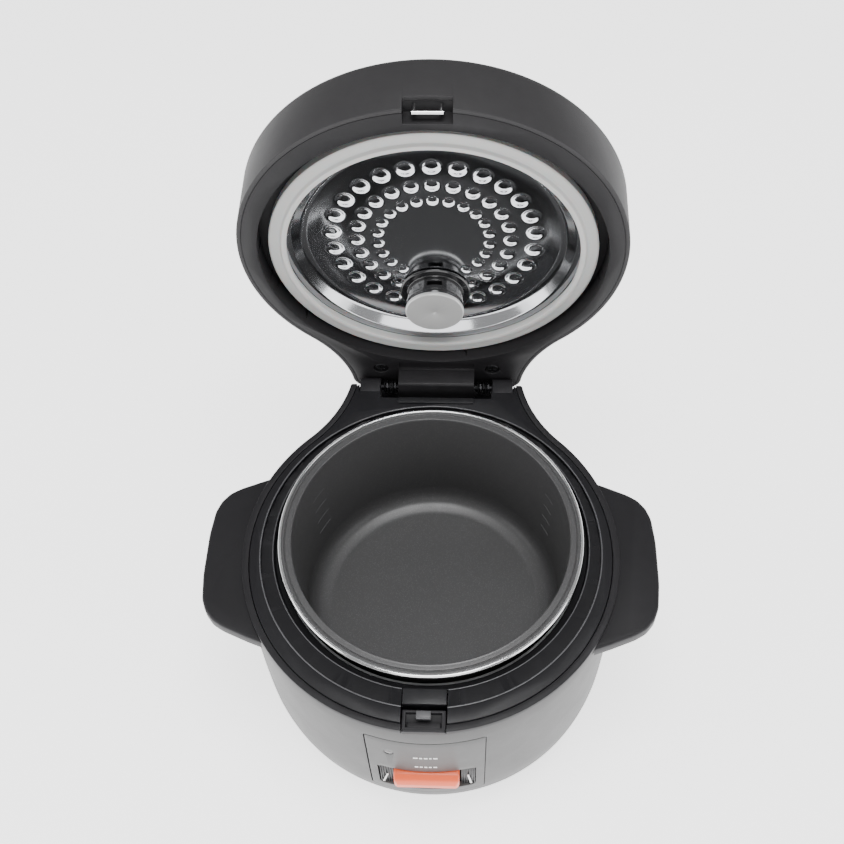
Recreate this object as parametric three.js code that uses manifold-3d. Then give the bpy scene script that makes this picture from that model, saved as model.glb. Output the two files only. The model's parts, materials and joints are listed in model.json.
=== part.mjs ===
// Small electric rice cooker with two side handles, a lift-out pot and a lid that stands open.
// Millimetres, +Z up, front at -Y. The lid is drawn closed and then turned open about its pin.
import * as THREE from 'three';
import { mergeVertices } from 'three/addons/utils/BufferGeometryUtils.js';
import Module from 'manifold-3d';

const wasm = await Module();
wasm.setup();

// ---- driving dimensions ----
const GAP = 0.3;                 // between pieces that touch
const SHELL_R = 98.5;            // outer radius of body and lid
const SHELL_Y = -7;              // body and lid circles sit this far in front of the pot axis
const MATE_Z = 130;              // plane where lid and body meet
const RIM_Z = 135;               // top of the pot rim
const POT_R = 80;                // pot rim radius
const POT_FLOOR_Z = 53.5;        // underside of the pot
const CHAMBER_R = 78;            // inside of the aluminium liner
const OPENING_R = 83.1;          // hole in the collar for the pot
const STEP_R = 89.2;             // step down around that hole
const STEP_Y = -4;
const LAMP_Z = 96;
const RING_W = 3.5;              // width of the narrow rim around the body
const RING_Z = 125.5;            // underside of that rim
const NECK_HALF = 48;            // half width of the hinge neck
const FLARE_R = 72;              // concave sweep from the round body into the neck
const BODY_NECK_Y = 101;
const LID_NECK_Y = 112;
const HINGE_Y = 103;
const HINGE_Z = 124.5;
const PIN_R = 1.6;
const LID_TOP_Z = 164;
const LID_OPEN = 87;             // degrees, lid resting fully open
const WALL = 2.4;                // moulded wall thickness
const PLATE_Z = 148;             // deep flat of the polished plate under the lid
const CAP_Y = 42;                // steam cap axis
const PANEL_HALF = 30;
const PANEL_Z = [39, 113];
const SLOT_HALF = 25.5;
const SLOT_Z = [45.5, 73.5];
const LEVER_Y = -38;             // pivot of the cook lever
const LEVER_Z = 30;
const LATCH_Y = -97.6;           // pivot of the lid latch
const LATCH_Z = 113;
const STRIKER_Y = -100.8;
const STRIKER_Z = 132.6;
const FOOT_R = 66;
const SCREW_R = 79;
const BIG = 40;                  // sides of a large round
const MID = 24;
const SMALL = 10;

// ---- materials ----
const paint = (color, roughness, metalness = 0) =>
  new THREE.MeshStandardMaterial({ color, roughness, metalness });
const DARK = paint(0x47464a, 0.55);
const BLACK = paint(0x1f1f22, 0.5);
const SILVER = paint(0xa3a3a1, 0.4, 0.15);
const STEEL = paint(0xc4c6c8, 0.2, 1);
const MIRROR = paint(0xd2d4d6, 0.08, 1);
const ALUMINIUM = paint(0xb4b6b8, 0.4, 1);
const COATING = paint(0x55555a, 0.5, 0.2);
const SEAL = paint(0xb9b8b6, 0.6);
const ORANGE = paint(0xee8666, 0.4);
const RUBBER = paint(0x222222, 0.9);
const CERAMIC = paint(0xe6e2d8, 0.7);
const LENS = paint(0x6b4a48, 0.2);
const BOARD = paint(0xd8d4c8, 0.95);

// ---- shape helpers ----
const rad = THREE.MathUtils.degToRad;
const at = (r, degrees, cy = 0) => [r * Math.cos(rad(degrees)), cy + r * Math.sin(rad(degrees))];

function bare(geometry) {
  const plain = geometry.index ? geometry.toNonIndexed() : geometry.clone();
  plain.deleteAttribute('normal');
  plain.deleteAttribute('uv');
  return mergeVertices(plain, 1e-4);
}

function solid(geometry) {
  const merged = bare(geometry);
  const position = merged.attributes.position;
  const index = merged.index.array;
  const corner = [new THREE.Vector3(), new THREE.Vector3(), new THREE.Vector3()];
  let volume = 0;
  const faces = [];
  for (let i = 0; i < index.length; i += 3) {
    const [a, b, c] = index.slice(i, i + 3);
    if (a === b || b === c || c === a) continue;
    [a, b, c].forEach((k, j) => corner[j].fromBufferAttribute(position, k));
    volume += corner[0].dot(corner[1].cross(corner[2]));
    faces.push([a, b, c]);
  }
  const triVerts = new Uint32Array(faces.flatMap((f) => (volume < 0 ? [f[0], f[2], f[1]] : f)));
  const vertProperties = new Float32Array(position.array);
  return new wasm.Manifold(new wasm.Mesh({ numProp: 3, vertProperties, triVerts }));
}

function geometryOf(body) {
  const mesh = body.getMesh();
  const geometry = new THREE.BufferGeometry();
  geometry.setAttribute('position', new THREE.BufferAttribute(mesh.vertProperties, 3));
  geometry.setIndex(new THREE.BufferAttribute(mesh.triVerts, 1));
  geometry.computeVertexNormals();
  return geometry;
}

const join = (...bodies) => bodies.reduce((a, b) => a.add(b));
const cut = (body, ...tools) => tools.reduce((a, b) => a.subtract(b), body);

function box(x, y, z) {
  const g = new THREE.BoxGeometry(x[1] - x[0], y[1] - y[0], z[1] - z[0]);
  g.translate((x[0] + x[1]) / 2, (y[0] + y[1]) / 2, (z[0] + z[1]) / 2);
  return solid(g);
}

function turned(profile, sides, x = 0, y = 0) {
  const points = profile.map(([r, z]) => new THREE.Vector2(r, z));
  if (profile[0][0] !== 0) points.push(points[0].clone());
  const g = new THREE.LatheGeometry(points, sides);
  g.rotateX(Math.PI / 2);
  g.translate(x, y, 0);
  return solid(g);
}

const disc = (r, z, sides, x = 0, y = 0) =>
  turned([[0, z[0]], [r, z[0]], [r, z[1]], [0, z[1]]], sides, x, y);

function rod(axis, r, span, a, b, sides = SMALL) {
  const g = new THREE.CylinderGeometry(r, r, span[1] - span[0], sides);
  const middle = (span[0] + span[1]) / 2;
  if (axis === 'x') g.rotateZ(Math.PI / 2).translate(middle, a, b);
  if (axis === 'y') g.translate(a, middle, b);
  if (axis === 'z') g.rotateX(Math.PI / 2).translate(a, b, middle);
  return solid(g);
}

function slab(points, z, holes = []) {
  const shape = new THREE.Shape(points);
  shape.holes = holes.map((h) => new THREE.Path(h));
  const g = new THREE.ExtrudeGeometry(shape, { depth: z[1] - z[0], bevelEnabled: false });
  g.translate(0, 0, z[0]);
  return solid(g);
}

function arc(cx, cy, r, from, to, steps) {
  return Array.from({ length: steps + 1 }, (_, i) => {
    const t = from + ((to - from) * i) / steps;
    return new THREE.Vector2(cx + r * Math.cos(t), cy + r * Math.sin(t));
  });
}

const round = (r, cy, sides = BIG) => arc(0, cy, r, 0, 2 * Math.PI, sides).slice(0, -1);

// Body and lid outline: a circle that sweeps into a neck at the hinge, drawn in by inset.
function neckOutline(inset, neckEnd, corner) {
  const flareX = NECK_HALF + FLARE_R;
  const flareY = SHELL_Y + Math.sqrt((SHELL_R + FLARE_R) ** 2 - flareX ** 2);
  const turn = Math.atan2(flareY - SHELL_Y, flareX);
  const flare = FLARE_R + inset;
  const last = Math.asin((neckEnd - corner - flareY) / flare);
  const front = arc(0, SHELL_Y, SHELL_R - inset, turn, -Math.PI - turn, 40);
  const left = arc(-flareX, flareY, flare, -turn, last, 7).slice(1);
  const edge = left[left.length - 1];
  const bend = corner > 0 ? arc(edge.x + corner, edge.y, corner, Math.PI, Math.PI / 2, 4).slice(1) : [];
  const half = [...left, ...bend];
  const right = half.map((p) => new THREE.Vector2(-p.x, p.y)).reverse();
  return [...front, ...half, ...right].reverse();
}

// Points of a side handle: a flat wing with rounded outer corners, side = 1 or -1.
function wingOutline(side) {
  const middle = -10;
  const points = [
    [80, 51], [92, 46.5], [105, 41], [110.5, 37.5], [114.5, 32.5], [117, 26],
    [118.4, 12], [118.4, -12],
    [117, -26], [114.5, -32.5], [110.5, -37.5], [105, -41], [92, -46.5], [80, -51],
  ].map(([x, y]) => new THREE.Vector2(side * x, middle + y));
  return side > 0 ? points.reverse() : points;
}

class Helix extends THREE.Curve {
  constructor(r, length, turns) {
    super();
    Object.assign(this, { r, length, turns });
  }

  getPoint(t, target = new THREE.Vector3()) {
    const turn = 2 * Math.PI * this.turns * t;
    return target.set(this.r * Math.cos(turn), this.r * Math.sin(turn), this.length * t);
  }
}

function coil(r, wire, length, turns) {
  const section = new THREE.Shape(arc(0, 0, wire, 0, 2 * Math.PI, 4).slice(0, -1));
  const path = new Helix(r, length, turns);
  return new THREE.ExtrudeGeometry(section, { steps: turns * 8, extrudePath: path, bevelEnabled: false });
}

// ---- scene graph ----
const cooker = new THREE.Group();
const base = new THREE.Group();
const lid = new THREE.Group();
const lidFrame = new THREE.Group();
cooker.add(base, lid);
lid.position.set(0, HINGE_Y, HINGE_Z);
lid.rotation.x = -rad(LID_OPEN);
lidFrame.position.set(0, -HINGE_Y, -HINGE_Z);
lid.add(lidFrame);

function place(parent, name, body, material) {
  const mesh = new THREE.Mesh(geometryOf(body), material);
  mesh.name = name;
  parent.add(mesh);
}

// ---- outer body ----
const shellProfile = [
  [76, 8], [83, 8], [88.5, 12.5], [92.8, 19], [96, 28], [98, 42],
  [SHELL_R, 70], [SHELL_R, 105], [97.9, RING_Z - GAP],
];
const shellInside = shellProfile.slice(1).map(([r, z]) => [r - WALL, Math.max(z, 8 + WALL)]).reverse();

function outerShell() {
  const wall = turned([...shellProfile, ...shellInside, [76, 8 + WALL]], BIG, 0, SHELL_Y);
  const half = PANEL_HALF + GAP;
  const window = box([-half, half], [-120, -80], [PANEL_Z[0] - GAP, PANEL_Z[1] + GAP]);
  const inlet = box([-13.3, 13.3], [70, 100], [21.7, 42.3]);
  const screws = [45, 135, 225, 315].map((a) => rod('z', 1.7, [5, 13], ...at(SCREW_R, a, SHELL_Y)));
  return cut(wall, window, inlet, ...screws);
}

function handleRing() {
  const rim = slab(neckOutline(0, BODY_NECK_Y, 0), [RING_Z, MATE_Z]);
  const neck = slab(neckOutline(0, BODY_NECK_Y, 0), [104, RING_Z + 1]);
  const front = box([-120, 120], [-120, 62], [90, RING_Z]);
  const shellRoom = disc(SHELL_R + GAP, [90, RING_Z], BIG, 0, SHELL_Y);
  const inside = slab(neckOutline(RING_W, 130, 0), [RING_Z - 3, MATE_Z + 1]);
  const wings = [1, -1].map((side) => {
    const thick = cut(slab(wingOutline(side), [118, 127]), shellRoom);
    return cut(thick, disc(SHELL_R - 2, [RING_Z - 1, MATE_Z], BIG, 0, SHELL_Y));
  });
  const hingeRoom = box([-31.8, 31.8], [91.2, 120], [115, MATE_Z + 1]);
  const knuckles = [1, -1].map((s) =>
    rod('x', 5, s > 0 ? [32.2, 44] : [-44, -32.2], HINGE_Y, HINGE_Z, 16));
  const webs = [1, -1].map((s) =>
    box(s > 0 ? [32.2, 44] : [-44, -32.2], [96, HINGE_Y], [HINGE_Z - 5, HINGE_Z + 5]));
  const bore = rod('x', PIN_R + GAP, [-60, 60], HINGE_Y, HINGE_Z);
  const latchRoom = box([-11, 11], [-120, -84.3], [112, MATE_Z + 1]);
  const hollow = cut(join(rim, cut(neck, front, shellRoom)), inside);
  return cut(join(hollow, ...wings, ...knuckles, ...webs), hingeRoom, bore, latchRoom);
}

function collar() {
  const upper = slab(neckOutline(RING_W + GAP, 100.4, 0), [126, MATE_Z], [round(STEP_R, STEP_Y)]);
  const shelf = slab(round(STEP_R + 2, STEP_Y), [123.8, 127.2], [round(OPENING_R, 0)]);
  const hingeRoom = box([-31.8, 31.8], [91.2, 120], [115, MATE_Z + 1]);
  const webRoom = [1, -1].map((s) =>
    box(s > 0 ? [31.9, 44.3] : [-44.3, -31.9], [95.7, 120], [115, MATE_Z + 1]));
  const latchRoom = box([-11.3, 11.3], [-120, -82.6], [112, MATE_Z + 1]);
  return cut(join(upper, shelf), hingeRoom, ...webRoom, latchRoom);
}

function chamberLiner() {
  return turned([
    [66, 46], [CHAMBER_R + 1, 46], [CHAMBER_R + 1, 122.4], [82.6, 122.4], [82.6, 123.4],
    [CHAMBER_R, 123.4], [CHAMBER_R, 47], [66, 47],
  ], BIG);
}

function controlPanel() {
  const width = Math.asin(PANEL_HALF / SHELL_R);
  const middle = -Math.PI / 2;
  const outer = arc(0, SHELL_Y, SHELL_R, middle - width, middle + width, 12);
  const inner = arc(0, SHELL_Y, SHELL_R - 3, middle + width, middle - width, 12);
  const filled = turned([[0, 8], ...shellProfile.slice(1), [0, RING_Z - GAP]], BIG, 0, SHELL_Y);
  const plate = slab([...outer, ...inner], PANEL_Z).intersect(filled);
  const slot = box([-SLOT_HALF, SLOT_HALF], [-120, -90], SLOT_Z);
  const lamp = rod('y', 2.3 + GAP, [-120, -90], -18.5, LAMP_Z, SMALL);
  return cut(plate, slot, lamp);
}

function leverPocket() {
  const walls = box([-28, 28], [-100.2, -89], [SLOT_Z[0] - 3, SLOT_Z[1] + 3]);
  const round97 = disc(SHELL_R - 3 - GAP, [20, 100], BIG, 0, SHELL_Y);
  const hollow = box([-SLOT_HALF + 0.8, SLOT_HALF - 0.8], [-120, -91], [SLOT_Z[0] + 0.8, SLOT_Z[1] - 0.8]);
  const armSlit = box([-6, 6], [-120, -80], [30, SLOT_Z[1]]);
  return cut(walls.intersect(round97), hollow, armSlit);
}

function basePlate() {
  const plate = disc(82, [4.5, 7.7], BIG, 0, SHELL_Y);
  const holes = [45, 135, 225, 315].map((a) => rod('z', 1.7, [0, 10], ...at(SCREW_R, a, SHELL_Y)));
  const slots = [-24, -12, 0, 12, 24].map((x) => box([x - 2, x + 2], [20, 48], [0, 10]));
  return cut(plate, ...holes, ...slots);
}

place(base, 'outer_shell', outerShell(), SILVER);
place(base, 'handle_ring', handleRing(), DARK);
place(base, 'pot_collar', collar(), BLACK);
place(base, 'chamber_liner', chamberLiner(), ALUMINIUM);
place(base, 'control_panel', controlPanel(), SILVER);
place(base, 'lever_pocket', leverPocket(), BLACK);
place(base, 'indicator_lens', rod('y', 2.3, [-103.6, -99.6], -18.5, LAMP_Z, SMALL), LENS);
place(base, 'base_plate', basePlate(), BLACK);
[45, 135, 225, 315].forEach((angle, i) => {
  const [fx, fy] = at(FOOT_R, angle, SHELL_Y);
  const [sx, sy] = at(SCREW_R, angle, SHELL_Y);
  place(base, `foot_${i + 1}`, disc(8, [0, 4.2], 16, fx, fy), RUBBER);
  const head = rod('z', 2.8, [2.8, 4.2], sx, sy);
  place(base, `base_screw_${i + 1}`, join(head, rod('z', 1.3, [4, 12], sx, sy)), STEEL);
});

// ---- heater and thermostat ----
const heaterProfile = [
  [17.5, 45], [45, 45], [45, 39], [55, 39], [55, 45], [62, 45], [62, 51.5],
  [60.5, POT_FLOOR_Z - GAP], [17.5, POT_FLOOR_Z - GAP],
];
place(base, 'heating_plate', turned(heaterProfile, 36), ALUMINIUM);
[200, 340].forEach((angle, i) => {
  const [x, y] = at(50, angle);
  place(base, `heater_terminal_${i + 1}`, rod('z', 2.5, [28, 39 - GAP], x, y), CERAMIC);
});
[90, 210, 330].forEach((angle, i) => {
  const [x, y] = at(58.5, angle);
  place(base, `plate_post_${i + 1}`, rod('z', 3, [8, 45 - GAP], x, y), STEEL);
});
place(base, 'keep_warm_band', turned([[79.3, 70], [81, 70], [81, 95], [79.3, 95]], BIG), ALUMINIUM);

function thermostatBracket() {
  const top = box([-20, 20], [-12, 12], [27.5, 29.5]);
  const legs = [1, -1].map((s) => box(s > 0 ? [18, 20] : [-20, -18], [-12, 12], [8, 28]));
  return cut(join(top, ...legs), rod('z', 3, [20, 40], 0, 0));
}

place(base, 'thermostat_bracket', thermostatBracket(), STEEL);
place(base, 'thermostat_can', turned([
  [0, 51.5], [13.6, 51.5], [13.6, 37], [15, 37], [15, 52.2], [14, POT_FLOOR_Z - GAP], [0, POT_FLOOR_Z - GAP],
], MID), ALUMINIUM);
place(base, 'thermostat_spring', solid(coil(11.6, 0.7, 18.8, 5).translate(0, 0, 30.6)), STEEL);
place(base, 'magnet_rod', join(disc(8.5, [38.5, 44.8], MID), rod('z', 2, [21.4, 40], 0, 0)), STEEL);

// ---- cook lever ----
function cookLever() {
  const side = [
    [-91.4, 71.8], [-100, 71.6], [-106, 71.2], [-109, 69.6], [-110.4, 66.6], [-110.2, 62.2],
    [-108.6, 60], [-106.4, 59.6], [-104.4, 61], [-102, 63], [-91.4, 63],
  ];
  const g = new THREE.ExtrudeGeometry(
    new THREE.Shape(side.map(([y, z]) => new THREE.Vector2(y, z))),
    { depth: 34, bevelEnabled: false },
  );
  g.rotateY(Math.PI / 2).rotateX(Math.PI / 2);
  g.translate(-17, 0, 0);
  return solid(g);
}

function leverArm() {
  const side = [
    [-91.1, 71], [-91.1, 36], [-82, 32.5], [-56, 29.8], [-44, 27], [LEVER_Y, 25.8], [-30, 24.5],
    [4, 18.4], [4, 20.8], [-5, 20.8], [-30, 30], [-33, 34], [LEVER_Y, 35.2], [-58, 34.5], [-82, 39.5],
    [-82.5, 71],
  ];
  const g = new THREE.ExtrudeGeometry(
    new THREE.Shape(side.map(([y, z]) => new THREE.Vector2(y, z))),
    { depth: 8, bevelEnabled: false },
  );
  g.rotateY(Math.PI / 2).rotateX(Math.PI / 2);
  g.translate(-4, 0, 0);
  return cut(solid(g), rod('x', 2.3, [-10, 10], LEVER_Y, LEVER_Z));
}

place(base, 'cook_lever', cookLever(), ORANGE);
place(base, 'lever_arm', leverArm(), BLACK);
place(base, 'lever_pivot_pin', rod('x', 2, [-12, 12], LEVER_Y, LEVER_Z), STEEL);
[1, -1].forEach((s) => {
  const cheek = box(s > 0 ? [6, 9] : [-9, -6], [LEVER_Y - 6, LEVER_Y + 6], [8, LEVER_Z + 5]);
  const hole = rod('x', 2.3, [-20, 20], LEVER_Y, LEVER_Z);
  place(base, s > 0 ? 'lever_bracket_right' : 'lever_bracket_left', cut(cheek, hole), STEEL);
});
const switchWell = box([-2.4, 2.4], [-62.4, -57.6], [22, 30]);
place(base, 'micro_switch', cut(box([-6, 6], [-70, -52], [8, 25.3]), switchWell), BLACK);
place(base, 'switch_button', box([-2, 2], [-62, -58], [24.6, 29.4]), ORANGE);

// ---- wiring ends ----
function powerInlet() {
  const body = box([-12, 12], [68, 88], [23, 41]);
  const cavity = box([-9, 9], [74, 100], [26, 38]);
  return cut(join(body, box([-13, 13], [86, 92], [22, 42])), cavity);
}

place(base, 'power_inlet', powerInlet(), BLACK);
[-4.5, 4.5].forEach((x, i) => {
  place(base, `inlet_pin_${i + 1}`, rod('y', 1.2, [74.3, 86], x, 32), STEEL);
});
place(base, 'terminal_block', box([24, 44], [34, 46], [8, 20]), CERAMIC);
place(base, 'thermal_fuse', rod('x', 2.2, [-44, -24], 22, 36), CERAMIC);

// ---- lid latch on the body ----
function latchHousing() {
  const block = box([-10.8, 10.8], [-91.5, -83.4], [123.8, MATE_Z - 0.2]);
  const back = box([-10.8, 10.8], [-91.5, -89.5], [109, 125]);
  const cheeks = [1, -1].map((s) => box(s > 0 ? [8.4, 10.8] : [-10.8, -8.4], [-100, -89.5], [109, 118]));
  return cut(join(block, back, ...cheeks), rod('x', 1.5, [-20, 20], LATCH_Y, LATCH_Z));
}

function latchButton() {
  const lip = box([-10.5, 10.5], [-105.2, -103.2], [125.9, 129.7]);
  const floor = box([-10.5, 10.5], [-104, -94.3], [125.6, 127.2]);
  const legs = [1, -1].map((s) => box(s > 0 ? [8.7, 10.5] : [-10.5, -8.7], [-104, -94.3], [127, 129.7]));
  const back = box([-10.5, 10.5], [-95.6, -94.3], [127, 129.7]);
  const stem = box([-3.5, 3.5], [-98.6, -96.6], [LATCH_Z, 135.2]);
  const nose = box([-3.5, 3.5], [-101.4, -98.5], [133.9, 135.2]);
  const hub = rod('x', 3, [-8.1, 8.1], LATCH_Y, LATCH_Z);
  return cut(join(lip, floor, ...legs, back, stem, nose, hub), rod('x', 1.5, [-20, 20], LATCH_Y, LATCH_Z));
}

place(base, 'latch_housing', latchHousing(), BLACK);
place(base, 'latch_button', latchButton(), DARK);
place(base, 'latch_pin', rod('x', 1.2, [-10.8, 10.8], LATCH_Y, LATCH_Z), STEEL);
const latchSpring = coil(1.9, 0.35, 4, 4).rotateX(-Math.PI / 2).translate(0, -96, 121);
place(base, 'latch_spring', solid(latchSpring), STEEL);

// ---- hinge ----
place(base, 'hinge_pin', rod('x', PIN_R, [-43.6, 43.6], HINGE_Y, HINGE_Z), STEEL);
place(base, 'hinge_leaf', box([-21.4, 21.4], [87.3, 91], [MATE_Z + GAP, MATE_Z + 0.9]), BLACK);
[1, -1].forEach((s) => {
  const start = s > 0 ? 23.2 : -30.8;
  const spring = coil(3.3, 0.6, 7.6, 5).rotateY(Math.PI / 2).translate(start, HINGE_Y, HINGE_Z);
  place(base, s > 0 ? 'hinge_spring_right' : 'hinge_spring_left', solid(spring), STEEL);
});

// ---- pot ----
place(cooker, 'inner_pot', turned([
  [0, POT_FLOOR_Z], [60.5, POT_FLOOR_Z], [67, 55.2], [71.2, 59.5], [72.8, 66], [74.8, 128],
  [75.2, RIM_Z - 2.6], [POT_R, RIM_Z - 2.6], [POT_R, RIM_Z - 0.6], [79.4, RIM_Z],
  [73.5, RIM_Z], [73, RIM_Z - 0.6], [71.2, 66.5], [69.8, 61], [66.2, 57.2], [60, 55.6], [0, 55.6],
], BIG), COATING);

// ---- lid, drawn closed ----
const LID_Z = MATE_Z + GAP;

function drum(inset, z, edge) {
  const g = new THREE.ExtrudeGeometry(new THREE.Shape(neckOutline(inset, LID_NECK_Y - inset, 10 - inset)), {
    depth: z[1] - z[0] - 2 * edge,
    bevelEnabled: true,
    bevelThickness: edge,
    bevelSize: edge,
    bevelOffset: -edge,
    bevelSegments: 2,
  });
  g.translate(0, 0, z[0] + edge);
  return solid(g);
}

function latchNotch() {
  return box([-11.2, 11.2], [-120, -96.2], [120, 138]);
}

function lidShell() {
  const outside = drum(0, [LID_Z - 8, LID_TOP_Z], 4);
  const below = box([-130, 130], [-130, 130], [100, LID_Z]);
  const inside = slab(neckOutline(WALL, LID_NECK_Y - WALL, 7.6), [100, LID_TOP_Z - WALL]);
  const ventHole = rod('z', 13, [150, 170], 0, CAP_Y, MID);
  return cut(outside, below, inside, latchNotch(), ventHole);
}

function lidFlange() {
  const inset = WALL + GAP;
  const plate = slab(neckOutline(inset, LID_NECK_Y - inset, 7.3), [LID_Z, LID_Z + 2.8], [round(88.7, -3.7)]);
  const skirt = slab(round(90.7, -3.7), [LID_Z + 2, 144], [round(88.7, -3.7)]);
  const seat = slab(round(90, -3.7), [142, 144], [round(77, 0)]);
  const pocket = box([-12.8, 12.8], [-103.4, -94], [LID_Z + 2, 139.6]);
  const block = box([-21.7, 21.7], [93, 110], [HINGE_Z - 5, LID_Z + 1]);
  const screwSeats = [32, -32].map((x) => rod('z', 4.3, [LID_Z - 1, LID_Z + 1.6], x, 92.5));
  const screwHoles = [32, -32].map((x) => rod('z', 1.8, [LID_Z - 1, LID_Z + 5], x, 92.5));
  const bore = rod('x', PIN_R + GAP, [-60, 60], HINGE_Y, HINGE_Z);
  const leafRoom = box([-21.8, 21.8], [86.9, 93.2], [LID_Z - 1, LID_Z + 1.1]);
  const wallRoom = cut(
    slab(round(130, 0), [120, 150]),
    slab(neckOutline(inset, LID_NECK_Y - inset, 7.3), [119, 151]),
  );
  const whole = join(plate, skirt, seat, pocket, block);
  const gasketRoom = disc(88.7, [120, 141.9], BIG, 0, -3.7);
  return cut(whole, latchNotch(), bore, leafRoom, wallRoom, gasketRoom, ...screwSeats, ...screwHoles);
}

function striker() {
  const bar = rod('x', 1, [-7, 7], STRIKER_Y, STRIKER_Z);
  const legs = [6, -6].map((x) => rod('z', 1, [STRIKER_Z, 137.7], x, STRIKER_Y));
  return join(bar, ...legs);
}

place(lidFrame, 'lid_outer_shell', lidShell(), DARK);
place(lidFrame, 'lid_flange', lidFlange(), BLACK);
place(lidFrame, 'striker_bar', striker(), STEEL);
[32, -32].forEach((x, i) => {
  const head = rod('z', 3.6, [LID_Z + 0.2, LID_Z + 1.3], x, 92.5);
  place(lidFrame, `lid_screw_${i + 1}`, join(head, rod('z', 1.4, [LID_Z + 1, LID_Z + 9], x, 92.5)), STEEL);
});
place(lidFrame, 'lid_gasket', turned([
  [75, 135.6], [77.5, 135.4], [79.5, 137], [84.2, 137], [84.2, 141.7], [77.3, 141.7], [77.3, 139],
  [75, 137.2],
], BIG), SEAL);

function innerPlate() {
  const dish = turned([
    [0, PLATE_Z], [61, PLATE_Z], [71, 142.4], [76.6, 141.4], [76.6, 142.2], [71.3, 143.3],
    [61.2, PLATE_Z + 0.8], [0, PLATE_Z + 0.8],
  ], BIG);
  return cut(dish, rod('z', 12.2, [140, 155], 0, CAP_Y, MID));
}

function steamCap() {
  const cup = turned([
    [0, 132.2], [15.8, 132.2], [15.8, 134.2], [15, 134.2], [15, 145.6], [19.2, 145.6],
    [19.2, PLATE_Z - GAP], [12.8, PLATE_Z - GAP], [12.8, 135.6], [0, 135.6],
  ], MID, 0, CAP_Y);
  return cut(cup, box([-4, 4], [CAP_Y - 20, CAP_Y], [139.6, 142.6]));
}

function ventCover() {
  const cover = turned([
    [0, 164.8], [12.2, 164.8], [12.2, 160.5], [12.7, 160.5], [12.7, LID_TOP_Z + GAP],
    [16, LID_TOP_Z + GAP], [16, 165.6], [15, 166.6], [0, 166.6],
  ], MID, 0, CAP_Y);
  return cut(cover, ...[-5, 0, 5].map((x) => box([x - 1.1, x + 1.1], [CAP_Y - 7, CAP_Y + 7], [160, 170])));
}

place(lidFrame, 'lid_inner_plate', innerPlate(), MIRROR);
place(lidFrame, 'steam_cap', steamCap(), BLACK);
place(lidFrame, 'steam_tube', turned([
  [9.6, 145], [11.7, 145], [11.7, 149.2], [15, 149.2], [15, 150.8], [11.7, 150.8], [11.7, 164.4],
  [9.6, 164.4],
], MID, 0, CAP_Y), BLACK);
place(lidFrame, 'steam_vent_cover', ventCover(), DARK);
place(lidFrame, 'lid_insulation', cut(
  disc(84, [151.2, 160.6], 36, 0, -3.7),
  rod('z', 13.5, [140, 170], 0, CAP_Y, MID),
), BOARD);

// ---- origin at the middle of the underside of the whole object, lid open ----
const extent = new THREE.Box3().setFromObject(cooker, true);
const centre = extent.getCenter(new THREE.Vector3());
cooker.position.set(-centre.x, -centre.y, -extent.min.z);

export default cooker;
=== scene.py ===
import json
import math

import bmesh
import bpy
from mathutils import Matrix, Vector


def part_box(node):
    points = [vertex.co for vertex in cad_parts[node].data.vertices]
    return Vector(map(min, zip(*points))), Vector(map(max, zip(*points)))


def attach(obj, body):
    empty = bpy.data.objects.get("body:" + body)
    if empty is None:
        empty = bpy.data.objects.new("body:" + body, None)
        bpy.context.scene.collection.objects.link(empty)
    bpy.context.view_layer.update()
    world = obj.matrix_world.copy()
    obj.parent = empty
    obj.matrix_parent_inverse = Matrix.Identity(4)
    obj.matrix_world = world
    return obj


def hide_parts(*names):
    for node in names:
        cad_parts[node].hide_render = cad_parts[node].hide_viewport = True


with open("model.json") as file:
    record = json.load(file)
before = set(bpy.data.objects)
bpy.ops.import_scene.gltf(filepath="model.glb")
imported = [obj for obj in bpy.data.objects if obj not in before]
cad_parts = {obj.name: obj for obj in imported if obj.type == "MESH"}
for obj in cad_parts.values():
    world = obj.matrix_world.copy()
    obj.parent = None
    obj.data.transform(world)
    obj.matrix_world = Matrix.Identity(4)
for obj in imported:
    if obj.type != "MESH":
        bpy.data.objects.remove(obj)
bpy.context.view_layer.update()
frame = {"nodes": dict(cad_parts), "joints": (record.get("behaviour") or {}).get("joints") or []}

# ---- places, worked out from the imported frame. Shapes are drawn in millimetres about the pot's axis ----
MM = 0.001
JOINT = {j["name"]: j for j in frame["joints"]}
POT_LOW, POT_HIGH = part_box("inner_pot")
POT_Y = (POT_LOW.y + POT_HIGH.y) / 2


def box_mm(node):
    """Lowest and highest corner of a CAD node in millimetres, measured from the pot's axis."""
    low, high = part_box(node)
    shift = Vector((0, POT_Y, 0))
    return (low - shift) / MM, (high - shift) / MM


HINGE = Vector(JOINT["lid_hinge"]["pos_m"])
LID_OPEN = -math.radians(JOINT["lid_hinge"]["range_deg"][0])
BODY_PLACE = Matrix.Translation((0, POT_Y, 0)) @ Matrix.Scale(MM, 4)
LID_PLACE = (
    Matrix.Translation(HINGE) @ Matrix.Rotation(-LID_OPEN, 4, "X") @ Matrix.Translation(-HINGE) @ BODY_PLACE
)

SHELL_R = box_mm("outer_shell")[1].x     # radius of body and lid
SHELL_Y = -7                            # their axis sits in front of the pot's
MATE_Z = box_mm("pot_collar")[1].z      # plane where lid and body meet
LID_Z = MATE_Z + 0.3                    # underside of the closed lid
LID_TOP_Z = LID_Z + 33.7
RIM_Z = POT_HIGH.z / MM                 # top of the pot's rim
RIM_R = POT_HIGH.x / MM
POT_FLOOR_Z = POT_LOW.z / MM
GAP = 0.3                               # between pieces that touch
RING_Z = MATE_Z - 4.5                   # underside of the narrow body rim
RING_W = 3.5
NECK_HALF = 48
FLARE_R = 72                            # concave sweep from the round body into the neck
BODY_NECK_Y = 101
LID_NECK_Y = 112
HINGE_Y = (HINGE.y - POT_Y) / MM
HINGE_Z = HINGE.z / MM
OPENING_R = 83.1                        # hole in the collar for the pot
STEP_R = 89.2                           # step down around that hole
STEP_Y = -4
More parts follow.
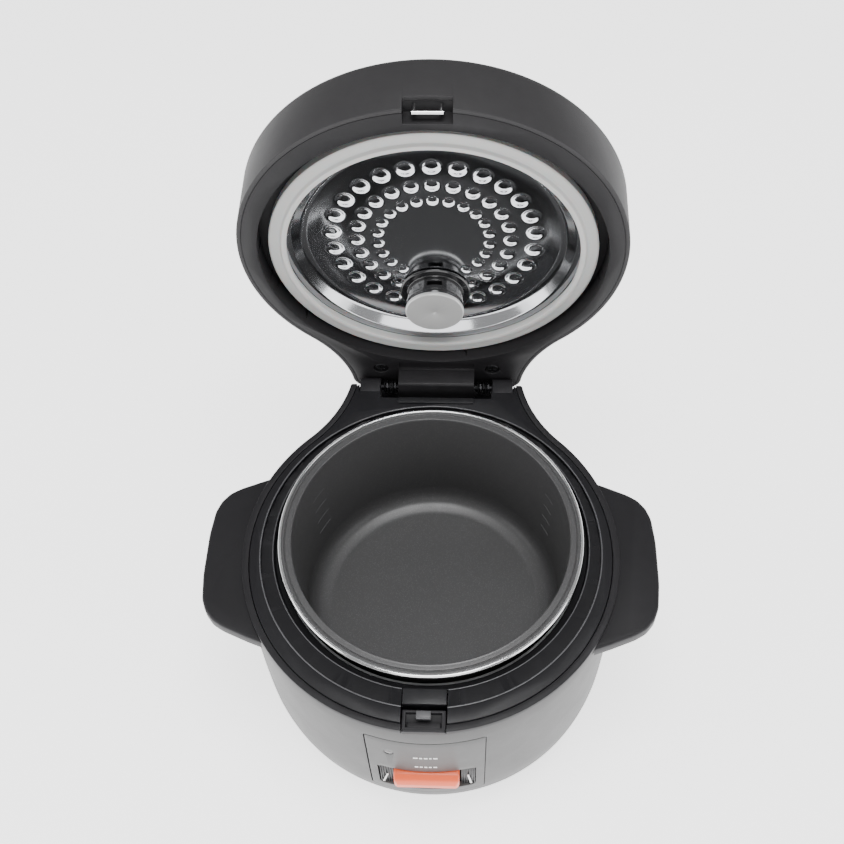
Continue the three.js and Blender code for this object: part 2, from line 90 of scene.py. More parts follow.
LAMP_Z = 96
WALL = 2.4
PANEL_LOW, PANEL_HIGH = box_mm("control_panel")
PANEL_HALF = PANEL_HIGH.x
SLOT_HALF = 25.5
SLOT_Z = (45.5, 73.5)
CAP_Y = 42                              # steam cap axis under the lid
PLATE_Z = 148                           # deep flat of the polished plate, lid closed
FINE = 192                              # sides of a large turned piece


# ---- mesh tools ----
def rounded(corners, closed=True):
    """Rounds the corners of a polygon. A corner is (a, b) or (a, b, radius)."""
    out = []
    count = len(corners)
    for i, corner in enumerate(corners):
        here = Vector(corner[:2])
        radius = corner[2] if len(corner) > 2 else 0
        if radius == 0 or (not closed and i in (0, count - 1)):
            out.append(tuple(here))
            continue
        before = (Vector(corners[i - 1][:2]) - here).normalized()
        after = (Vector(corners[(i + 1) % count][:2]) - here).normalized()
        half = before.angle(after) / 2
        reach = radius / math.tan(half)
        middle = here + (before + after).normalized() * (radius / math.sin(half))
        start = here + before * reach - middle
        sweep = start.angle_signed(here + after * reach - middle)
        steps = max(3, int(abs(sweep) * 5))
        for k in range(steps + 1):
            turn = Matrix.Rotation(-sweep * k / steps, 2)
            out.append(tuple(middle + turn @ start))
    return out


def outward(bm):
    """Turns every face outward, so that cutting and joining know the inside."""
    bmesh.ops.recalc_face_normals(bm, faces=bm.faces)
    if bm.calc_volume(signed=True) < 0:
        bmesh.ops.reverse_faces(bm, faces=bm.faces)
    return bm


def turned(profile, steps=FINE, centre=(0, 0)):
    """A profile of (radius, height) turned about an upright axis. It closes up unless it ends on the axis."""
    bm = bmesh.new()
    rings = []
    for r, z in profile:
        count = 1 if r < 1e-6 else steps
        turns = [2 * math.pi * k / steps for k in range(count)]
        row = [(centre[0] + r * math.cos(t), centre[1] + r * math.sin(t), z) for t in turns]
        rings.append([bm.verts.new(spot) for spot in row])
    if profile[0][0] > 1e-6:
        rings.append(rings[0])
    for a, b in zip(rings, rings[1:]):
        for k in range(steps):
            n = (k + 1) % steps
            quad = [a[k % len(a)], a[n % len(a)], b[n % len(b)], b[k % len(b)]]
            corners = list(dict.fromkeys(quad))
            if len(corners) > 2:
                bm.faces.new(corners)
    return outward(bm)


def lofted(loops, closed=False):
    """Skins a row of loops that have the same number of points. Open lofts get a face at each end."""
    bm = bmesh.new()
    rings = [[bm.verts.new(p) for p in loop] for loop in loops]
    if closed:
        rings.append(rings[0])
    for a, b in zip(rings, rings[1:]):
        for k in range(len(a)):
            n = (k + 1) % len(a)
            bm.faces.new([a[k], a[n], b[n], b[k]])
    if not closed:
        bm.faces.new(rings[0])
        bm.faces.new(rings[-1])
    return outward(bm)


def prism(outline, low, high, axis="z"):
    """A flat outline stretched from low to high along an axis."""
    put = {
        "z": lambda a, b, h: (a, b, h),
        "y": lambda a, b, h: (a, h, b),
        "x": lambda a, b, h: (h, a, b),
    }[axis]
    return lofted([[put(a, b, h) for a, b in outline] for h in (low, high)])


def block(x, y, z):
    """A box between three pairs of limits."""
    return prism([(x[0], y[0]), (x[1], y[0]), (x[1], y[1]), (x[0], y[1])], *z)


def pin(axis, r, span, a, b, sides=32):
    """A round bar along an axis, a and b being its place across."""
    turns = [2 * math.pi * k / sides for k in range(sides)]
    return prism([(a + r * math.cos(t), b + r * math.sin(t)) for t in turns], *span, axis)


def merged(*parts):
    """Several meshes as one, each keeping its own skin."""
    whole = bmesh.new()
    for part in parts:
        spare = bpy.data.meshes.new("spare")
        part.to_mesh(spare)
        part.free()
        whole.from_mesh(spare)
        bpy.data.meshes.remove(spare)
    return whole


def raw_object(name, bm):
    mesh = bpy.data.meshes.new(name)
    bm.to_mesh(mesh)
    bm.free()
    obj = bpy.data.objects.new(name, mesh)
    bpy.context.scene.collection.objects.link(obj)
    return obj


def settle(obj):
    """Applies an object's modifiers to its mesh."""
    bpy.context.view_layer.update()
    finished = bpy.data.meshes.new_from_object(obj.evaluated_get(bpy.context.evaluated_depsgraph_get()))
    old = obj.data
    obj.modifiers.clear()
    obj.data = finished
    bpy.data.meshes.remove(old)


def worked(bm, how, tools):
    """Cuts tools out of a mesh, joins them on, or keeps only what lies inside them."""
    obj = raw_object("blank", bm)
    cutters = []
    for tool in tools:
        cutter = raw_object("cutter", tool)
        cutters.append(cutter)
        step = obj.modifiers.new("work", "BOOLEAN")
        step.operation = how
        step.solver = "MANIFOLD"
        step.object = cutter
    settle(obj)
    return lifted(obj, *cutters)


def lifted(obj, *spare):
    """Takes an object's mesh back as a bmesh and clears the object and its helpers away."""
    result = bmesh.new()
    result.from_mesh(obj.data)
    for gone in [obj, *spare]:
        mesh = gone.data
        bpy.data.objects.remove(gone)
        bpy.data.meshes.remove(mesh)
    return result


def carved(bm, *tools):
    return worked(bm, "DIFFERENCE", tools)


def joined(bm, *tools):
    return worked(bm, "UNION", tools)


def kept(bm, *tools):
    return worked(bm, "INTERSECT", tools)


def soften(obj, width, steps):
    """Rounds an object's sharp edges."""
    edges = obj.modifiers.new("soften", "BEVEL")
    edges.width = width
    edges.segments = steps
    edges.limit_method = "ANGLE"
    edges.angle_limit = math.radians(38)
    edges.use_clamp_overlap = False
    settle(obj)


def softened(bm, width, steps=4):
    obj = raw_object("blank", bm)
    soften(obj, width, steps)
    return lifted(obj)


def piece(name, bm, material, body, slot, replaces=(), place=BODY_PLACE, edge=0, edge_steps=3, smooth=32):
    """Finishes a mesh drawn in millimetres: edges, shading, material, and the body that it rides on."""
    bmesh.ops.remove_doubles(bm, verts=bm.verts, dist=1e-4)
    obj = raw_object(name, bm)
    if edge:
        soften(obj, edge, edge_steps)
    obj.data.transform(place)
    obj.data.shade_smooth()
    obj.data.set_sharp_from_angle(angle=math.radians(smooth))
    obj.data.materials.clear()
    obj.data.materials.append(material)
    obj.name = name
    obj.data.name = name
    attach(obj, body)
    if replaces:
        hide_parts(*replaces)
    return obj


def arc(cx, cy, r, start, end, steps):
    turns = [start + (end - start) * k / steps for k in range(steps + 1)]
    return [(cx + r * math.cos(t), cy + r * math.sin(t)) for t in turns]


def neck_loop(inset, neck_end, corner, z):
    """Body and lid outline drawn in by inset: a circle that sweeps into the hinge neck."""
    flare_x = NECK_HALF + FLARE_R
    flare_y = SHELL_Y + math.sqrt((SHELL_R + FLARE_R) ** 2 - flare_x**2)
    turn = math.atan2(flare_y - SHELL_Y, flare_x)
    flare = FLARE_R + inset
    last = math.asin((neck_end - corner - flare_y) / flare)
    front = arc(0, SHELL_Y, SHELL_R - inset, turn, -math.pi - turn, 150)
    left = arc(-flare_x, flare_y, flare, -turn, last, 18)[1:]
    x, y = left[-1]
    left += arc(x + corner, y, max(corner, 0.01), math.pi, math.pi / 2, 8)[1:]
    x = left[-1][0]
    back = [(x - 2 * x * k / 24, neck_end) for k in range(1, 24)]
    right = [(-px, py) for px, py in reversed(left)]
    return [(px, py, z) for px, py in front + left + back + right]


# ---- material tools ----
def add(tree, kind, **values):
    """Adds a node. Values are its sockets by name, or its own settings."""
    node = tree.nodes.new(kind)
    for key, value in values.items():
        if key in node.inputs:
            node.inputs[key].default_value = value
        else:
            setattr(node, key, value)
    return node


def wire(tree, source, target):
    tree.links.new(source, target)


def effect(name, inputs, outputs):
    """An empty shared effect with named sockets."""
    tree = bpy.data.node_groups.new(name, "ShaderNodeTree")
    for label, default in inputs.items():
        socket = tree.interface.new_socket(label, in_out="INPUT", socket_type="NodeSocketFloat")
        socket.default_value = default
    for label in outputs:
        tree.interface.new_socket(label, in_out="OUTPUT", socket_type="NodeSocketFloat")
    return tree, add(tree, "NodeGroupInput"), add(tree, "NodeGroupOutput")


def scaled_place(tree, entry, factor):
    """Object coordinates times the effect's Scale and a factor."""
    place = add(tree, "ShaderNodeTexCoord")
    size = add(tree, "ShaderNodeMath", operation="MULTIPLY")
    size.inputs[1].default_value = factor
    wire(tree, entry.outputs["Scale"], size.inputs[0])
    grow = add(tree, "ShaderNodeVectorMath", operation="SCALE")
    wire(tree, place.outputs["Object"], grow.inputs[0])
    wire(tree, size.outputs[0], grow.inputs["Scale"])
    return grow.outputs[0]


def moulded_grain():
    """Fine spark-eroded grain of a moulded surface, with a slow drift in tone."""
    tree, entry, result = effect("moulded_grain", {"Scale": 1.0}, ["Height", "Drift"])
    fine = add(tree, "ShaderNodeTexNoise", Scale=1400, Detail=3, Roughness=0.6)
    slow = add(tree, "ShaderNodeTexNoise", Scale=26, Detail=3, Roughness=0.55)
    place = scaled_place(tree, entry, 1.0)
    wire(tree, place, fine.inputs["Vector"])
    wire(tree, place, slow.inputs["Vector"])
    wire(tree, fine.outputs[0], result.inputs["Height"])
    wire(tree, slow.outputs[0], result.inputs["Drift"])
    return tree


def handled_marks():
    """Faint rubbed patches and small scratches from use."""
    tree, entry, result = effect("handled_marks", {"Scale": 1.0}, ["Rub", "Scratch"])
    rub = add(tree, "ShaderNodeTexNoise", Scale=38, Detail=6, Roughness=0.7, Distortion=0.6)
    long = add(tree, "ShaderNodeTexNoise", Scale=90, Detail=2, Distortion=2.5)
    place = scaled_place(tree, entry, 1.0)
    wire(tree, place, rub.inputs["Vector"])
    wire(tree, place, long.inputs["Vector"])
    thin = add(tree, "ShaderNodeMapRange")
    thin.inputs["From Min"].default_value = 0.492
    thin.inputs["From Max"].default_value = 0.5
    hair = add(tree, "ShaderNodeMath", operation="PINGPONG")
    hair.inputs[1].default_value = 0.5
    wire(tree, long.outputs[0], hair.inputs[0])
    wire(tree, hair.outputs[0], thin.inputs["Value"])
    wire(tree, rub.outputs[0], result.inputs["Rub"])
    wire(tree, thin.outputs[0], result.inputs["Scratch"])
    return tree


def worn_and_highlit_edges():
    """A mask that is bright on outward edges and dark in hollows, used for rubbed wear and for painted edge
    highlight.
    """
    tree, entry, result = effect("worn_and_highlit_edges", {"Scale": 1.0}, ["Edge"])
    shape = add(tree, "ShaderNodeNewGeometry")
    sharp = add(tree, "ShaderNodeMapRange")
    sharp.inputs["From Min"].default_value = 0.5
    sharp.inputs["From Max"].default_value = 0.62
    wire(tree, shape.outputs["Pointiness"], sharp.inputs["Value"])
    chips = add(tree, "ShaderNodeTexNoise", Scale=160, Detail=4)
    wire(tree, scaled_place(tree, entry, 1.0), chips.inputs["Vector"])
    both = add(tree, "ShaderNodeMath", operation="MULTIPLY")
    wire(tree, sharp.outputs[0], both.inputs[0])
    wire(tree, chips.outputs[0], both.inputs[1])
    wire(tree, both.outputs[0], result.inputs["Edge"])
    return tree


GRAIN = moulded_grain()
MARKS = handled_marks()
EDGES = worn_and_highlit_edges()


def use(tree, group, scale=1.0):
    node = add(tree, "ShaderNodeGroup", node_tree=group)
    node.inputs["Scale"].default_value = scale
    return node


def surface(name, **values):
    """A material with one Principled shader and constant values on its own sockets."""
    material = bpy.data.materials.new(name)
    material.use_nodes = True
    shader = material.node_tree.nodes["Principled BSDF"]
    for key, value in values.items():
        shader.inputs[key.replace("_", " ")].default_value = value
    return material, material.node_tree, shader


def shade(tree, factor, dark, light):
    """A colour that runs between two tones."""
    mix = add(tree, "ShaderNodeMix", data_type="RGBA")
    mix.inputs[6].default_value = (*dark, 1)
    mix.inputs[7].default_value = (*light, 1)
    wire(tree, factor, mix.inputs[0])
    return mix.outputs[2]


def between(tree, factor, low, high):
    """A number that runs between two values."""
    span = add(tree, "ShaderNodeMapRange")
    span.inputs["To Min"].default_value = low
    span.inputs["To Max"].default_value = high
    wire(tree, factor, span.inputs["Value"])
    return span.outputs[0]


def bumped(tree, shader, height, depth, strength=1.0):
    bump = add(tree, "ShaderNodeBump", Distance=depth, Strength=strength)
    wire(tree, height, bump.inputs["Height"])
    wire(tree, bump.outputs[0], shader.inputs["Normal"])


def moulded(name, tone, rough, grain=0.00004, scale=1.0, lift=1.5, **values):
    """Moulded plastic: fine grain, a slight drift of tone and gloss, and lighter edges that are partly rubbed
    wear and partly painted highlight.
    """
    material, tree, shader = surface(name, **values)
    texture = use(tree, GRAIN, scale)
    marks = use(tree, MARKS, scale)
    edges = use(tree, EDGES, scale)
    dark = tuple(c * 0.86 for c in tone)
    light = tuple(c * 1.12 for c in tone)
    drifted = shade(tree, texture.outputs["Drift"], dark, light)
    # Edges are lightened by lift: partly rubbed wear, partly painted highlight.
    wear_and_highlight = add(tree, "ShaderNodeMix", data_type="RGBA")
    wear_and_highlight.inputs[7].default_value = (*[min(1, c * lift + 0.01) for c in tone], 1)
    wire(tree, edges.outputs["Edge"], wear_and_highlight.inputs[0])
    wire(tree, drifted, wear_and_highlight.inputs[6])
    wire(tree, wear_and_highlight.outputs[2], shader.inputs["Base Color"])
    wire(tree, between(tree, marks.outputs["Rub"], rough - 0.07, rough + 0.07), shader.inputs["Roughness"])
    bumped(tree, shader, texture.outputs["Height"], grain)
    return material


def metal(name, tone, rough, scratch=0.00001, scale=1.0, **values):
    """Bare metal: smudges in the gloss and hairline scratches."""
    material, tree, shader = surface(name, Metallic=1.0, **values)
    texture = use(tree, GRAIN, scale)
    marks = use(tree, MARKS, scale)
    dull = tuple(c * 0.9 for c in tone)
    wire(tree, shade(tree, texture.outputs["Drift"], dull, tone), shader.inputs["Base Color"])
    wire(tree, between(tree, marks.outputs["Rub"], rough * 0.6, rough * 1.5), shader.inputs["Roughness"])
    bumped(tree, shader, marks.outputs["Scratch"], scratch)
    return material


def non_stick():
    """Dark non-stick coating with fine pale specks and faint wiping marks."""
    material, tree, shader = surface("non_stick", Metallic=0.2)
    shader.inputs["Specular IOR Level"].default_value = 0.4
    speck = add(tree, "ShaderNodeTexVoronoi", Scale=1500)
    place = add(tree, "ShaderNodeTexCoord")
    wire(tree, place.outputs["Object"], speck.inputs["Vector"])
    dots = add(tree, "ShaderNodeMapRange")
    dots.inputs["From Min"].default_value = 0.26
    dots.inputs["From Max"].default_value = 0.12
    wire(tree, speck.outputs["Distance"], dots.inputs["Value"])
    speckled = shade(tree, dots.outputs[0], (0.066, 0.0655, 0.067), (0.14, 0.14, 0.14))
    wire(tree, speckled, shader.inputs["Base Color"])
    marks = use(tree, MARKS, 0.7)
    wire(tree, between(tree, marks.outputs["Rub"], 0.3, 0.46), shader.inputs["Roughness"])
    texture = use(tree, GRAIN, 0.8)
    bumped(tree, shader, texture.outputs["Height"], 0.00003)
    return material


def silicone():
    """Milky grey silicone with a soft sheen."""
    material, tree, shader = surface("silicone", Subsurface_Weight=0.25, Subsurface_Scale=0.002)
    shader.inputs["IOR"].default_value = 1.41
    texture = use(tree, GRAIN, 0.6)
    milky = shade(tree, texture.outputs["Drift"], (0.4, 0.4, 0.395), (0.5, 0.5, 0.49))
    wire(tree, milky, shader.inputs["Base Color"])
    marks = use(tree, MARKS, 1.4)
    wire(tree, between(tree, marks.outputs["Rub"], 0.38, 0.56), shader.inputs["Roughness"])
    bumped(tree, shader, texture.outputs["Height"], 0.00002)
    return material


SATIN = moulded(
    "satin_silver", (0.072, 0.072, 0.0716), 0.44, grain=0.00002, scale=1.6, lift=1.12, Specular_IOR_Level=0.3,
)
DARK = moulded("dark_matte", (0.027, 0.0262, 0.0275), 0.5, lift=1.7, Specular_IOR_Level=0.2)
RIM_DARK = moulded("rim_dark", (0.0135, 0.013, 0.0145), 0.46, lift=1.9, Specular_IOR_Level=0.2)
BLACK = moulded("black_satin", (0.0065, 0.0065, 0.0075), 0.38, lift=2.0, Specular_IOR_Level=0.25)
# The collar has its own material so that lift can lighten its edges, as rubbed wear and as painted highlight.
COLLAR = moulded("collar_black", (0.0085, 0.0083, 0.0098), 0.4, lift=2.0, Specular_IOR_Level=0.22)
# Lighter grey for strips on the collar's edges: painted highlight for the light that black edges catch.
HIGHLIGHT_EDGE_GREY = moulded("painted_highlight_edge", (0.075, 0.075, 0.08), 0.28, grain=0.000005, lift=1.3)
FLANGE = moulded("flange_dark", (0.0105, 0.01, 0.011), 0.46, lift=2, Specular_IOR_Level=0.2)
GLOSS_BLACK = moulded("gloss_black", (0.012, 0.012, 0.013), 0.16, grain=0.000008, lift=1.6, Coat_Weight=0.4)
CAP_FACE = moulded("satin_grey", (0.5, 0.5, 0.495), 0.36, grain=0.00001, lift=1.1, Metallic=0.4)
CORAL = moulded("coral", (0.88, 0.125, 0.035), 0.36, grain=0.00001, lift=1.05)
HOOK_GREY = moulded("hook_grey", (0.07, 0.07, 0.074), 0.36, lift=1.5)
LEVEL_GREY = moulded("level_grey", (0.09, 0.09, 0.092), 0.4, grain=0.00001, lift=1.2)
PRINT = moulded("white_print", (0.85, 0.85, 0.84), 0.5, grain=0.000005, lift=1.0)
RUBBER = moulded("foot_rubber", (0.018, 0.018, 0.018), 0.75, grain=0.00008)
LAMP = moulded("lamp_tint", (0.05, 0.043, 0.045), 0.2, grain=0.000004, lift=1.2)
CLAY = moulded("ceramic_white", (0.72, 0.69, 0.63), 0.7, grain=0.00006, lift=1.05)
FOAM = moulded("insulation_board", (0.6, 0.58, 0.54), 0.85, grain=0.0002, scale=0.4)
MIRROR = metal("mirror_steel", (0.66, 0.67, 0.69), 0.1, scratch=0.000002, scale=0.8)
STEEL = metal("plain_steel", (0.62, 0.62, 0.63), 0.24, scale=1.5)
DARK_STEEL = metal("blackened_steel", (0.035, 0.035, 0.037), 0.5, scale=1.5)
RIM_STEEL = metal("rim_steel", (0.82, 0.825, 0.83), 0.12, scratch=0.000003, scale=1.2)
ALUMINIUM = metal("rolled_aluminium", (0.6, 0.61, 0.62), 0.34, scratch=0.00002)
CAST = metal("cast_aluminium", (0.5, 0.5, 0.51), 0.45, scratch=0.00004)
COATING = non_stick()
SEAL = silicone()


def disc(r, low, high, centre=(0, 0), steps=FINE):
    """A round plate, used whole or as a cutter."""
    return turned([(0, low), (r, low), (r, high), (0, high)], steps, centre)


def neck_slab(inset, neck_end, corner, low, high):
    return lofted([neck_loop(inset, neck_end, corner, z) for z in (low, high)])


def rounded_box(x, z, radius, span):
    """A block seen from the front with round corners, running front to back."""
    corners = [(x[0], z[0], radius), (x[1], z[0], radius), (x[1], z[1], radius), (x[0], z[1], radius)]
    return prism(rounded(corners), *span, "y")


def four_corners(r):
    """Four places on a circle about the body's axis."""
    turns = [math.radians(angle) for angle in (45, 135, 225, 315)]
    return [(r * math.cos(t), SHELL_Y + r * math.sin(t)) for t in turns]


def both_sides(limits):
    """A pair of x limits and its mirror image."""
    return [limits, (-limits[1], -limits[0])]


def dress(node, material):
    """Gives a CAD node that stays in view its finish."""
    mesh = frame["nodes"][node].data
    mesh.materials.clear()
    mesh.materials.append(material)
    mesh.shade_smooth()
    mesh.set_sharp_from_angle(angle=math.radians(35))


# ---- outer body ----
BELLY = rounded([
    (76, 8), (83, 8, 4), (88.5, 12.5, 14), (92.8, 19, 30), (96, 28, 40), (98, 42, 120),
    (SHELL_R, 70, 900), (SHELL_R, 105, 600), (97.9, RING_Z - GAP),
], closed=False)
BELLY_INSIDE = [(r - WALL, max(z, 8 + WALL)) for r, z in reversed(BELLY[1:])]
SCREW_PLACES = four_corners(79)
FOOT_PLACES = four_corners(66)
FRONT_CUT = (-120, -80)                 # front to back reach of a cutter for the front
HINGE_ROOM = ((-31.8, 31.8), (91.2, 120), (115, MATE_Z + 1))


def belly():
    wall = turned([*BELLY, *BELLY_INSIDE, (76, 8 + WALL)], FINE, (0, SHELL_Y))
    window_x = (-PANEL_HALF - 0.4, PANEL_HALF + 0.3)
    window = rounded_box(window_x, (PANEL_LOW.z - 0.3, PANEL_HIGH.z + 0.3), 1.6, FRONT_CUT)
    inlet = rounded_box((-13.3, 13.3), (21.7, 42.3), 1.4, (70, 100))
    holes = [pin("z", 1.7, (5, 13), x, y) for x, y in SCREW_PLACES]
    whole = carved(wall, window, inlet, *holes)
    piece("belly", whole, SATIN, "base", "satin_shell", ["outer_shell"], edge=0.22)


def wing(side):
    """A flat side handle with a round edge and a scoop for the fingers beneath."""
    shape = [
        (80, 51), (92, 46.5, 8), (105, 41, 30), (110.5, 37.5, 9), (114.5, 32.5, 9), (117, 26, 14),
        (118.4, 12, 60), (118.4, -12, 60), (117, -26, 14), (114.5, -32.5, 9), (110.5, -37.5, 9),
        (105, -41, 30), (92, -46.5, 8), (80, -51),
    ]
    outline = [(side * x, y - 10) for x, y in rounded(shape)]
    scoop = [(92, 34), (106, 29, 5), (113, 17, 6), (114.6, 0, 30), (113, -17, 6), (106, -29, 5), (92, -34)]
    hollow = prism([(side * x, y - 10) for x, y in rounded(scoop)], 110, 122.6)
    return carved(softened(prism(outline, 118, 127), 1.7), softened(hollow, 1.0))


def handle_ring():
    rim = neck_slab(0, BODY_NECK_Y, 1.5, RING_Z, MATE_Z)
    rim = softened(carved(rim, neck_slab(RING_W, 130, 1.5, RING_Z - 3, MATE_Z + 1)), 0.35, 3)
    neck = neck_slab(0.4, BODY_NECK_Y - 0.4, 1.1, 104, RING_Z + 0.5)
    in_front = block((-120, 120), (-120, 62), (90, RING_Z + 1))
    inside = neck_slab(RING_W - 0.2, 130, 1.5, RING_Z - 3, MATE_Z + 1)
    neck = carved(neck, in_front, disc(SHELL_R + GAP, 90, RING_Z, (0, SHELL_Y)), inside)
    wings = []
    for side in (1, -1):
        below = disc(SHELL_R + GAP, 90, RING_Z, (0, SHELL_Y))
        beside = disc(SHELL_R - 2, RING_Z - 1, MATE_Z, (0, SHELL_Y))
        wings.append(carved(wing(side), below, beside))
    whole = joined(rim, neck, *wings)
    whole = carved(whole, block(*HINGE_ROOM), block((-11, 11), (-120, -84.3), (112, MATE_Z + 1)))
    piece("handle_ring_moulding", whole, RIM_DARK, "base", "dark_shell", ["handle_ring"])
    for name, (x0, x1) in zip(("hinge_knuckle_right", "hinge_knuckle_left"), both_sides((32.2, 44))):
        web = block((x0, x1), (95.9, HINGE_Y), (HINGE_Z - 5, HINGE_Z + 5))
        knuckle = joined(pin("x", 5, (x0, x1), HINGE_Y, HINGE_Z, 48), web)
        knuckle = carved(knuckle, pin("x", 1.9, (x0 - 1, x1 + 1), HINGE_Y, HINGE_Z))
        piece(name, knuckle, RIM_DARK, "base", "dark_shell", ["handle_ring"], edge=0.4)


def pot_collar():
    upper = neck_slab(RING_W + GAP, 100.4, 1.2, 126, MATE_Z)
    upper = carved(upper, disc(STEP_R, 120, MATE_Z + 1, (0, STEP_Y)))
    shelf = carved(disc(STEP_R + 1, 123.8, 127.2, (0, STEP_Y)), disc(OPENING_R, 120, MATE_Z))
    whole = softened(joined(upper, shelf), 0.5, 3)
    web_rooms = [block(x, (95.7, 120), (115, MATE_Z + 1)) for x in both_sides((31.9, 44.3))]
    latch_room = block((-11.3, 11.3), (-120, -82.6), (112, MATE_Z + 1))
    whole = carved(whole, block(*HINGE_ROOM), *web_rooms, latch_room)
    piece("pot_collar_moulding", whole, COLLAR, "base", "black_plastic", ["pot_collar"])
    # A black lip under the collar's opening: part of the collar moulding, and also painted shade that darkens
    # the gap between collar and pot.
    lip = rounded([
        (79.2, 121.9), (84, 121.9), (84, 124.6), (82.9, 124.6, 0.4), (82.6, 123.2, 0.8), (79.2, 122.7),
    ])
    piece("pot_collar_lip", turned(lip), BLACK, "base", "black_plastic", ["pot_collar"])
    # Grey beads on the collar's two edges are painted highlight, standing in for light caught by the rounded
    # black edges.
    edges = {
        "collar_inner_edge": (OPENING_R + 0.38, 126.88, 0),
        "collar_step_edge": (STEP_R + 0.3, MATE_Z - 0.26, STEP_Y),
    }
    for name, (r, z, cy) in edges.items():
        round_edge = turned(arc(r, z, 0.42, 0, 2 * math.pi * 11 / 12, 11), FINE, (0, cy))
        round_edge = carved(round_edge, block((-11.3, 11.3), (-120, -70), (112, MATE_Z + 1)))
        piece(name, round_edge, HIGHLIGHT_EDGE_GREY, "base", "black_plastic", ["pot_collar"])


def chamber_liner():
    # No top flange here: the black lip takes its place, as painted shade in the gap.
    profile = rounded([
        (66, 46), (79, 46, 1.5), (79, 122.9), (78, 122.9), (78, 47, 1), (66, 47),
    ])
    piece("chamber_liner_wall", turned(profile), ALUMINIUM, "base", "liner", ["chamber_liner"])


# ---- front panel and cook lever ----
def control_panel():
    outside = [(r + 0.1 if r < SHELL_R else r, z) for r, z in BELLY if 30 < z]
    sheet = turned([*outside, *[(r - 3, z) for r, z in reversed(outside)]], FINE * 2, (0, SHELL_Y))
    panel_x = (-PANEL_HALF + 0.25, PANEL_HALF)
    blank = kept(sheet, rounded_box(panel_x, (PANEL_LOW.z, PANEL_HIGH.z), 1.4, FRONT_CUT))
    slot = rounded_box((-SLOT_HALF, SLOT_HALF), SLOT_Z, 3.2, (-120, -90))
    lamp = pin("y", 2.45, (-120, -90), -18.5, LAMP_Z)
    whole = carved(blank, slot, lamp)
    piece("control_panel_face", whole, SATIN, "base", "satin_shell", ["control_panel"], edge=0.22)
    behind = turned([(93.4, 30), (95.1, 30), (95.1, 122), (93.4, 122)], FINE, (0, SHELL_Y))
    frame_shape = kept(behind, block((-34, 34), (-120, -80), (34, 119)))
    frame_shape = carved(frame_shape, block((-28.3, 28.3), (-120, -80), (42.3, 76.7)))
    piece("control_panel_frame", frame_shape, BLACK, "base", "black_plastic", ["control_panel"])


def indicator_lens():
    dome = turned([(0, 0), (2.3, 0), (2.3, 3.6), (2.1, 3.8), (1.2, 3.95), (0, 4)], 32)
    facing = Matrix.Rotation(-math.asin(18.5 / SHELL_R), 4, "Z") @ Matrix.Rotation(math.radians(90), 4, "X")
    y = SHELL_Y - math.sqrt((SHELL_R - 3.9)**2 - 18.5**2)
    stand = Matrix.Translation((-18.5 * (SHELL_R - 3.9) / SHELL_R, y, LAMP_Z)) @ facing
    dome.transform(stand)
    piece("lamp_window", dome, LAMP, "base", "lamp_lens", ["indicator_lens"])


def printed_marks():
    """Two short rows of small white dashes above the slot, standing in for lettering."""
    rows = (
        ("upper_print", 93.6, (2.3, 1.5, 1.9, 1.2, 2.2)),
        ("lower_print", 80.8, (1.8, 1.5, 1.5, 1.5, 1.9)),
    )
    gap = 0.8
    for name, z, lengths in rows:
        x = -(sum(lengths) + gap * (len(lengths) - 1)) / 2
        dashes = []
        for length in lengths:
            y = SHELL_Y - math.sqrt(SHELL_R**2 - (x + length / 2)**2)
            dashes.append(block((x, x + length), (y - 0.16, y + 0.3), (z - 0.75, z + 0.75)))
            x += length + gap
        piece(name, merged(*dashes), PRINT, "base", "satin_shell")


def lever_pocket():
    behind_panel = disc(SHELL_R - 3 - GAP, 20, 100, (0, SHELL_Y))
    walls = kept(block((-28, 28), (-100.2, -89), (42.5, 76.5)), behind_panel)
    hollow = rounded_box((-24.7, 24.7), (46.3, 72.7), 2.6, (-120, -91))
    slit = block((-6, 6), (-120, -80), (30, SLOT_Z[1]))
    tray = carved(walls, hollow, slit)
    piece("lever_pocket_tray", tray, BLACK, "base", "black_plastic", ["lever_pocket"], edge=0.3)
    cheeks = [block(x, (-101, -90.5), (46.1, 72.9)) for x in both_sides((17.8, 24.9))]
    ribs = [
        block((x, x + 0.6), (-101.8, -100.5), (46.4, 72.6))
        for start in (-24.7, 18.0) for x in (start + 1.3 * k for k in range(6))
    ]
    ribbed = merged(*cheeks, *ribs)
    piece("lever_pocket_ribs", ribbed, BLACK, "base", "black_plastic", ["lever_pocket"], edge=0.15)


def lever_ticks():
    """A slanted white tick on each side of the lever."""
    ends = {"tick_left": ((-23.5, 46.9), (-20.8, 58.6)), "tick_right": ((23.2, 47.2), (21.4, 60))}
    for name, (low, high) in ends.items():
        (x0, z0), (x1, z1) = low, high
        outline = [(x0 - 0.5, z0), (x0 + 0.5, z0), (x1 + 0.5, z1), (x1 - 0.5, z1)]
        piece(name, prism(outline, -102.1, -101.5, "y"), PRINT, "base", "black_plastic", edge=0.08)


def cook_lever():
    side = rounded([
        (-91.4, 71.8), (-100, 71.6, 8), (-106, 71.2, 4), (-109, 69.6, 2), (-110.4, 66.6, 1.6),
        (-110.2, 62.2, 1.4), (-108.6, 60, 1), (-106.4, 59.6, 1), (-104.4, 61, 1), (-102, 63, 2), (-91.4, 63),
    ])
    paddle = prism(side, -17, 17, "x")
    face = rounded_box((-17, 17), (59.6, 80), 3.6, (-120, -91.4))
    plan = prism(rounded([(-17, -91.4), (-17, -110.4, 3), (17, -110.4, 3), (17, -91.4)]), 40, 90)
    whole = softened(kept(paddle, face, plan), 0.9)
    piece("cook_lever_paddle", whole, CORAL, "lever", "lever", ["cook_lever"], smooth=45)
    dress("lever_arm", BLACK)


